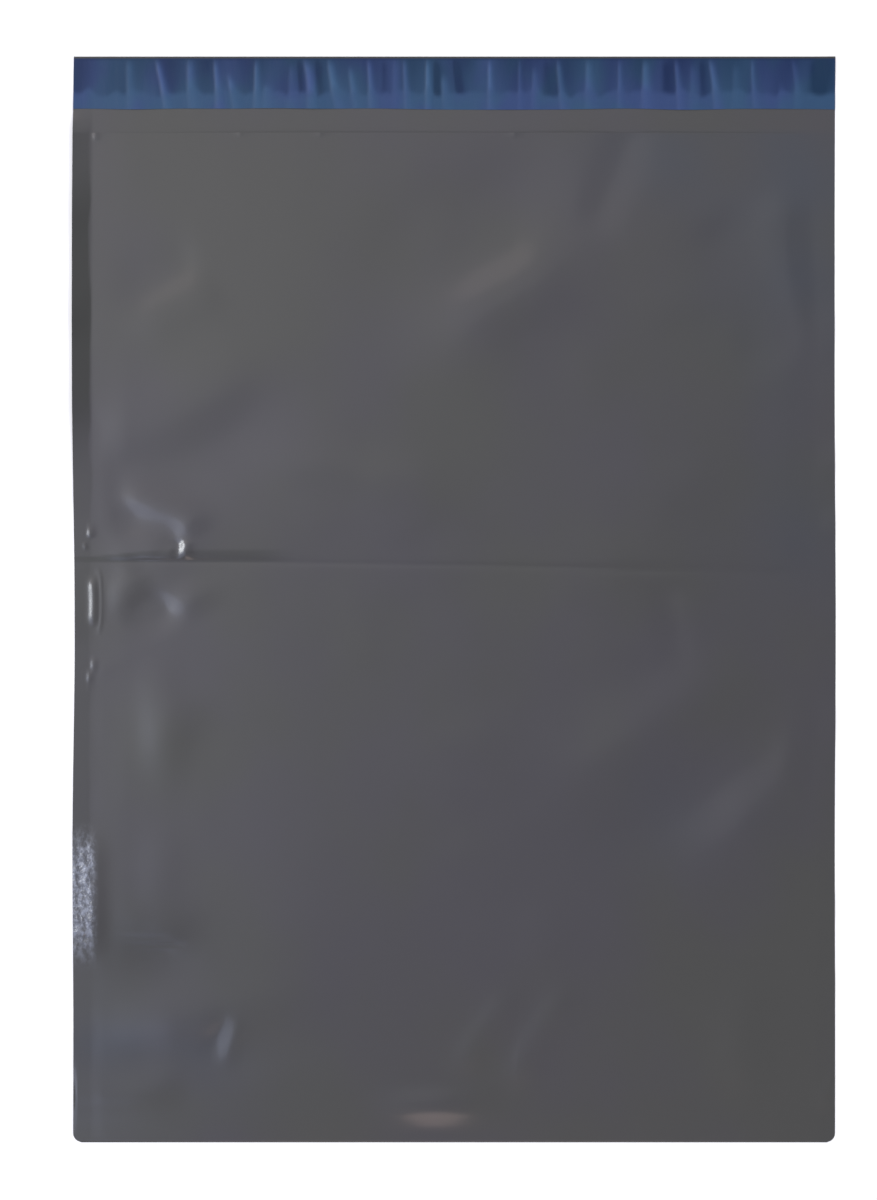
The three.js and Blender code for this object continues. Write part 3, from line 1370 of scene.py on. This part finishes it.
@dataclass(frozen=True)
class Wrinkle:
    """A wrinkle that runs down the liner, in millimetres.

    It is placed across the bag at the liner's head, at its middle and at its foot. It begins
    some way down the liner, as a share of its length. Where its strength is negative, the liner
    is pressed harder on the glue instead.
    """

    head: float
    middle: float
    foot: float
    width: float
    strength: float
    start: float = 0.0

    def rise(self, x: Array, down: Array) -> Array:
        """How strongly the liner is lifted.

        Args:
            x: Places across the bag, in metres.
            down: How far down the liner they are, from 0 at its head to 1 at its foot.

        Returns:
            The strength at each place.
        """
        bend = 4 * down * (1 - down) * (self.middle - 0.5 * (self.head + self.foot))
        centre = self.head + (self.foot - self.head) * down + bend
        aside = (x / MM - centre) / (self.width * (0.75 + 0.75 * down**2))
        steep_side = np.exp(-np.abs(aside / 0.9) ** 3)
        soft_side = np.exp(-np.abs(aside / 1.6) ** 1.7)
        section = np.where(aside < 0, steep_side, soft_side)
        return self.strength * section * ease(down, self.start - 0.06, self.start + 0.22)


WRINKLE_RISE = 0.24 * MM

# The liner's wrinkles, from left to right
LINER_WRINKLES: Tuple[Wrinkle, ...] = tuple(Wrinkle(*row) for row in (
    (-170.7, -170.2, -169.0, 1.9, 0.55),
    (-156.2, -153.2, -150.5, 1.4, 1.0),
    (-138.7, -138.4, -136.8, 1.9, 0.8),
    (-125.5, -124.4, -123.2, 1.3, 0.95),
    (-120.5, -117.2, -114.4, 1.3, 0.75, 0.3),
    (-103.8, -103.7, -103.5, 1.3, 0.9),
    (-98.6, -98.4, -98.2, 1.8, 0.7, 0.5),
    (-85.3, -85.3, -85.2, 1.7, 0.4, 0.1),
    (-81.5, -80.5, -79.0, 1.5, -0.5),
    (-78.3, -75.6, -75.2, 2.0, 0.9),
    (-71.8, -70.8, -69.0, 2.0, -0.5),
    (-65.5, -63.4, -60.2, 1.8, 0.9),
    (-55.3, -53.4, -51.2, 1.4, 0.65, 0.15),
    (-44.9, -43.9, -43.1, 1.3, 0.85),
    (-36.6, -36.4, -36.0, 1.8, -0.3),
    (-30.7, -30.7, -30.5, 2.0, 0.3),
    (-26.0, -25.4, -24.2, 1.2, 0.75),
    (-13.9, -13.8, -13.6, 1.2, 1.0),
    (-9.5, -9.2, -9.0, 2.0, -0.6),
    (-6.2, -5.4, -4.2, 1.6, 0.7, 0.3),
    (0.2, 2.0, 4.0, 1.7, -0.7),
    (18.6, 18.8, 19.2, 1.1, 0.85),
    (34.3, 34.5, 34.6, 0.9, 0.45),
    (42.1, 42.3, 42.4, 1.4, 0.45, 0.15),
    (48.5, 48.7, 49.0, 2.5, -0.25),
    (54.5, 55.8, 57.4, 1.3, 0.8),
    (70.4, 70.5, 70.8, 1.7, 0.6),
    (86.8, 87.0, 87.2, 1.0, 0.6),
    (100.3, 100.4, 100.6, 1.8, 0.9),
    (111.0, 111.4, 112.0, 2.4, -0.3),
    (116.4, 117.6, 118.7, 1.3, 0.8),
    (125.3, 125.4, 125.6, 1.8, 0.35, 0.1),
    (130.0, 130.6, 131.4, 1.8, -0.35),
    (134.3, 136.6, 138.2, 1.5, 0.95),
    (147.8, 148.0, 148.3, 2.0, 0.3, 0.1),
    (156.6, 157.1, 158.6, 1.0, 0.6),
    (171.4, 171.6, 171.7, 1.3, 0.25, 0.45),
    (177.5, 179.8, 180.2, 1.3, 0.4),
    (190.5, 190.6, 190.8, 5.0, -0.35),
))


def liner_wrinkles(x: Array, y: Array, sizes: BagSizes) -> Array:
    """How strongly the liner is wrinkled, from below 0 where it is pressed down to about 1."""
    down = np.clip((sizes.liner_head - y) / (sizes.liner_head - sizes.liner_foot), 0.0, 1.0)
    return sum(wrinkle.rise(x, down) for wrinkle in LINER_WRINKLES)


def liner_lift(x: Array, y: Array, sizes: BagSizes) -> Array:
    """How far the liner's wrinkles stand off the glue, in metres."""
    return WRINKLE_RISE * np.maximum(liner_wrinkles(x, y, sizes), 0.0)


@dataclass
class GlueLayer:
    """The strip of hot-melt glue on the lip."""

    sizes: BagSizes
    bag: FilmBag
    finish: GlueFinish = GlueFinish()
    columns: int = 400
    rows: int = 12

    def build(self) -> bpy.types.Object:
        """Models the glue as a layer that follows the lip.

        Returns:
            The finished piece.
        """
        sizes = self.sizes
        ends = (sizes.glue_foot, sizes.glue_head)
        piece = flat_grid("glue_layer", sizes.glue_half_width, ends, self.columns, self.rows)
        places = read_points(piece)
        x, y = places[:, 0], places[:, 1]
        places[:, 2] = self.bag.back_outside(x, y) + sizes.gauge
        write_points(piece, places)
        thicken(piece, sizes.glue_top - sizes.gauge)
        smooth_below(piece, 60.0)
        piece.data.materials.append(self.finish.make())
        return piece


@dataclass
class ReleaseLiner:
    """The blue film over the glue, with a free margin below it for fingers to lift.

    Along the foot of the glue its bond ends in a ragged line, and reaches further down between
    the wrinkles than on them.
    """

    sizes: BagSizes
    bag: FilmBag
    finish: LinerFinish = LinerFinish()
    columns: int = 560
    rows: int = 20
    margin_wave: float = 0.22 * MM
    foot_wander: float = 0.35 * MM
    bond_wander: float = 0.8 * MM
    bond_fingers: float = 3.0 * MM
    bond_blur: float = 1.8 * MM

    def build(self) -> bpy.types.Object:
        """Models the liner as a thin wrinkled film.

        Returns:
            The finished piece.
        """
        sizes = self.sizes
        ends = (sizes.liner_foot, sizes.liner_head)
        piece = flat_grid("liner_film", sizes.half_width, ends, self.columns, self.rows)
        places = read_points(piece)
        x, y = places[:, 0], places[:, 1]
        wrinkles = liner_wrinkles(x, y, sizes)
        down = (sizes.liner_head - y) / (sizes.liner_head - sizes.liner_foot)
        margin = ease(y, sizes.glue_foot + 1 * MM, sizes.glue_foot - 2 * MM)
        ragged = self.bond_wander * smooth_noise(x, np.zeros_like(x), seed=9, pitch=9 * MM)
        fingers = self.bond_fingers * np.maximum(wrinkles, 0.0) ** 0.7
        bond_end = sizes.glue_foot + 0.6 * MM + ragged + fingers
        loose = ease(y, bond_end + self.bond_blur, bond_end - self.bond_blur)
        base = self.bag.back_outside(x, y) + sizes.glue_top
        stand_off = (1 - self.bag.lip_wrinkle_share) * liner_lift(x, y, sizes)
        wave = self.margin_wave * (1 + 0.6 * smooth_noise(x, y, seed=12, pitch=40 * MM))
        at_foot = ease(y, sizes.glue_foot, sizes.liner_foot)
        # x and y are columns of places, so from here on they follow the uneven edges
        places[:, 0] = self.bag.outline(x, y)
        wander = 1 + smooth_noise(x, np.zeros_like(x), seed=14, pitch=60 * MM)
        places[:, 1] += at_foot * self.foot_wander * wander
        places[:, 2] = base + stand_off * (1 - 0.4 * margin) + np.maximum(margin * wave, 0.0)
        write_points(piece, places)
        cells = 0.14 + 0.22 * down + 0.06 * smooth_noise(x, 0.25 * y, seed=15, pitch=16 * MM)
        stuck = cells + 0.62 * wrinkles
        free = 0.52 + 0.2 * np.maximum(wrinkles, 0.0)
        lift = ease(down, 0.0, 0.04) * (stuck * (1 - loose) + free * loose)
        set_attribute(piece, "lift", np.clip(lift, 0.0, 1.0))
        thicken(piece, sizes.liner_gauge)
        smooth_below(piece, 60.0)
        piece.data.materials.append(self.finish.make())
        return piece


def flat_grid(
    name: str, half_width: float, ends: Point, columns: int, rows: int
) -> bpy.types.Object:
    """Adds a flat grid that lies across the lip.

    Args:
        name: What the piece is called.
        half_width: How far it reaches to either side.
        ends: Where its foot and its head lie along the bag.
        columns: How many faces it has across.
        rows: How many faces it has along.

    Returns:
        The grid, at height 0.
    """
    foot, head = ends
    bpy.ops.object.select_all(action="DESELECT")
    bpy.ops.mesh.primitive_grid_add(
        x_subdivisions=columns,
        y_subdivisions=rows,
        size=1.0,
        location=(0.0, (head + foot) / 2, 0.0),
    )
    piece = bpy.context.active_object
    piece.name = name
    piece.data.name = name
    piece.scale = (2 * half_width, head - foot, 1.0)
    bpy.ops.object.transform_apply(location=True, rotation=True, scale=True)
    return piece


def thicken(piece: bpy.types.Object, thickness: float) -> None:
    """Gives an open sheet a thickness, upwards from where it lies.

    Args:
        piece: The sheet.
        thickness: How thick it becomes.
    """
    pick(piece)
    bpy.ops.object.modifier_add(type="SOLIDIFY")
    modifier = piece.modifiers[-1]
    modifier.thickness = thickness
    modifier.offset = 1.0
    bpy.ops.object.modifier_apply(modifier=modifier.name)


# The studio


@dataclass(frozen=True)
class Softbox:
    """A square soft lamp that looks at the bag."""

    name: str
    place: Tuple[float, float, float]
    size: float
    watts: float
    tint: Colour = (1.0, 1.0, 1.0)

    def build(self) -> None:
        """Adds the lamp."""
        data = bpy.data.lights.new(self.name, "AREA")
        data.shape = "SQUARE"
        data.size = self.size
        data.energy = self.watts
        data.color = self.tint
        lamp = bpy.data.objects.new(self.name, data)
        lamp.location = self.place
        lamp.rotation_euler = (-Vector(self.place)).to_track_quat("-Z", "Y").to_euler()
        bpy.context.scene.collection.objects.link(lamp)


@dataclass(frozen=True)
class Studio:
    """A pale floor, soft lamps, an even sky, and a camera that looks straight down."""

    lamps: Tuple[Softbox, ...] = (
        Softbox("window_near", (-0.62, 0.62, 2.15), 2.2, 4.9, (0.95, 0.98, 1.0)),
        Softbox("window_middle", (-0.82, 0.82, 2.05), 2.1, 4.9, (1.0, 0.98, 0.98)),
        Softbox("window_far", (-1.10, 1.10, 1.85), 1.8, 9.2, (1.0, 0.82, 0.78)),
        Softbox("left_box", (-1.14, 0.06, 1.85), 0.55, 7.0, (0.84, 0.90, 1.0)),
        Softbox("left_bulb", (-1.17, 0.16, 1.8), 0.3, 6.0, (0.97, 0.99, 1.0)),
        Softbox("left_panel", (-0.90, -0.57, 1.85), 0.9, 5.0, (0.62, 0.70, 1.0)),
        Softbox("low_panel", (0.0, -1.22, 1.86), 0.6, 3.2, (1.0, 0.76, 0.66)),
        Softbox("right_box", (1.6, 0.9, 1.5), 0.7, 9.0, (1.0, 1.0, 1.0)),
        Softbox("corner_box", (1.5, -1.2, 1.4), 0.7, 10.0, (0.95, 0.97, 1.0)),
    )
    sky: float = 0.41
    sky_tint: Colour = (0.91, 0.94, 1.0)
    floor_size: float = 12.0
    floor_drop: float = 0.1 * MM
    camera_height: float = 2.0
    view_centre: Point = (-8.1 * MM, -0.3 * MM)
    view_length: float = 630 * MM

    def build(self, finish: FloorFinish) -> None:
        """Sets up the whole studio.

        Args:
            finish: What the floor is made of.
        """
        bpy.ops.object.select_all(action="DESELECT")
        bpy.ops.mesh.primitive_plane_add(size=self.floor_size, location=(0, 0, -self.floor_drop))
        floor = bpy.context.active_object
        floor.name = "floor"
        floor.data.materials.append(finish.make())
        for lamp in self.lamps:
            lamp.build()
        self.light_sky()
        self.place_camera()

    def light_sky(self) -> None:
        """Gives the world an even light."""
        world = bpy.data.worlds.new("even_sky")
        world.use_nodes = True
        background = world.node_tree.nodes["Background"]
        background.inputs["Color"].default_value = (*self.sky_tint, 1.0)
        background.inputs["Strength"].default_value = self.sky
        bpy.context.scene.world = world

    def place_camera(self) -> None:
        """Puts the camera straight above the bag, as the photograph was taken."""
        data = bpy.data.cameras.new("camera")
        data.lens = data.sensor_width * self.camera_height / self.view_length
        camera = bpy.data.objects.new("camera", data)
        camera.location = (*self.view_centre, self.camera_height)
        bpy.context.scene.collection.objects.link(camera)
        bpy.context.scene.camera = camera
        bpy.context.scene.view_settings.view_transform = "Standard"


def declare(
    bag: bpy.types.Object, glue: bpy.types.Object, liner: bpy.types.Object
) -> None:
    """Hangs each piece on the body it rides on, and hides the imported part that it stands for.

    Args:
        bag: The film bag.
        glue: The glue on its lip.
        liner: The liner over the glue.
    """
    for piece, node, slot in (
        (bag, "bag_film", "film"),
        (glue, "glue_strip", "glue"),
        (liner, "release_liner", "liner"),
    ):
        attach(piece, BODY)
        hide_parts(node)
        log.info("%s stands for %s, %d faces", piece.name, node, len(piece.data.polygons))


def main() -> None:
    """Builds the bag, its glue and its liner, and the studio round them."""
    logging.basicConfig(level=logging.INFO, format="%(name)s: %(message)s")
    sizes = BagSizes.from_frame()
    Studio().build(FloorFinish())
    loose = LooseFilm(sizes)
    loose.settle()
    bag = FilmBag(sizes, loose)
    declare(bag.build(), GlueLayer(sizes, bag).build(), ReleaseLiner(sizes, bag).build())


if __name__ == "__main__":
    main()
